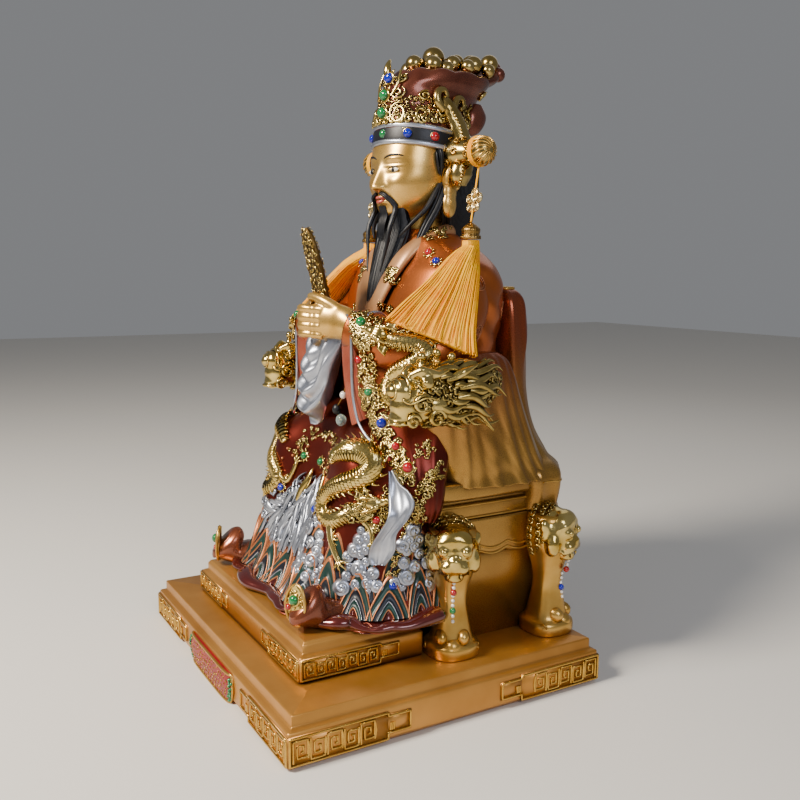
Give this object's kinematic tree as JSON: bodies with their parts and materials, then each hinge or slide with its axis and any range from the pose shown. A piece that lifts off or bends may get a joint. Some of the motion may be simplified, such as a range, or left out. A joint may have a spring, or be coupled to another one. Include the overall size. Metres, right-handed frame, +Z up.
{
  "type": "seated deity statue",
  "caption": "Painted resin statue of a robed deity holding a tablet, seated on a lion-legged throne on a stepped plinth, with a beaded crown and silk tassels.",
  "frame": {"origin": "centre of the plinth's underside", "axes": "+Z up, the figure faces -Y, and its left side is at +X"},
  "size_m": [0.2424, 0.219, 0.4011],
  "materials": {
    "gold_paint": "satin metallic gold paint over cast resin, with brighter gold relief",
    "robe_paint": "metallic copper to maroon paint over cast resin, with gold, silver and coloured carving",
    "crown_paint": "metallic maroon paint over cast resin, with plated gold beads and scrolls",
    "tablet_plate": "pale gold paint with a dark speckled relief",
    "silk": "golden yellow silk thread",
    "brass_plate": "cast, lightly antiqued",
    "ruby": "cut glass bead, red",
    "sapphire": "cut glass bead, blue",
    "emerald": "cut glass bead, green"
  },
  "bodies": {
    "root": {"crown": "crown_paint", "crown_gem_1": "ruby", "crown_gem_2": "sapphire", "crown_gem_3": "emerald", "crown_gem_4": "sapphire", "crown_gem_5": "ruby", "crown_gem_6": "emerald", "crown_gem_7": "emerald", "crown_gem_8": "sapphire", "figure": "robe_paint", "plinth": "gold_paint", "robe_gem_1": "emerald", "robe_gem_2": "sapphire", "robe_gem_3": "ruby", "robe_gem_4": "emerald", "robe_gem_5": "emerald", "robe_gem_6": "sapphire", "robe_gem_7": "ruby", "robe_gem_8": "emerald", "tablet": "tablet_plate", "tassel_cap_left": "brass_plate", "tassel_cap_right": "brass_plate", "tassel_charm_left": "brass_plate", "tassel_charm_right": "brass_plate", "tassel_cord_left": "silk", "tassel_cord_right": "silk", "tassel_fringe_left": "silk", "tassel_fringe_right": "silk", "throne": "gold_paint"}
  },
  "joints": []
}
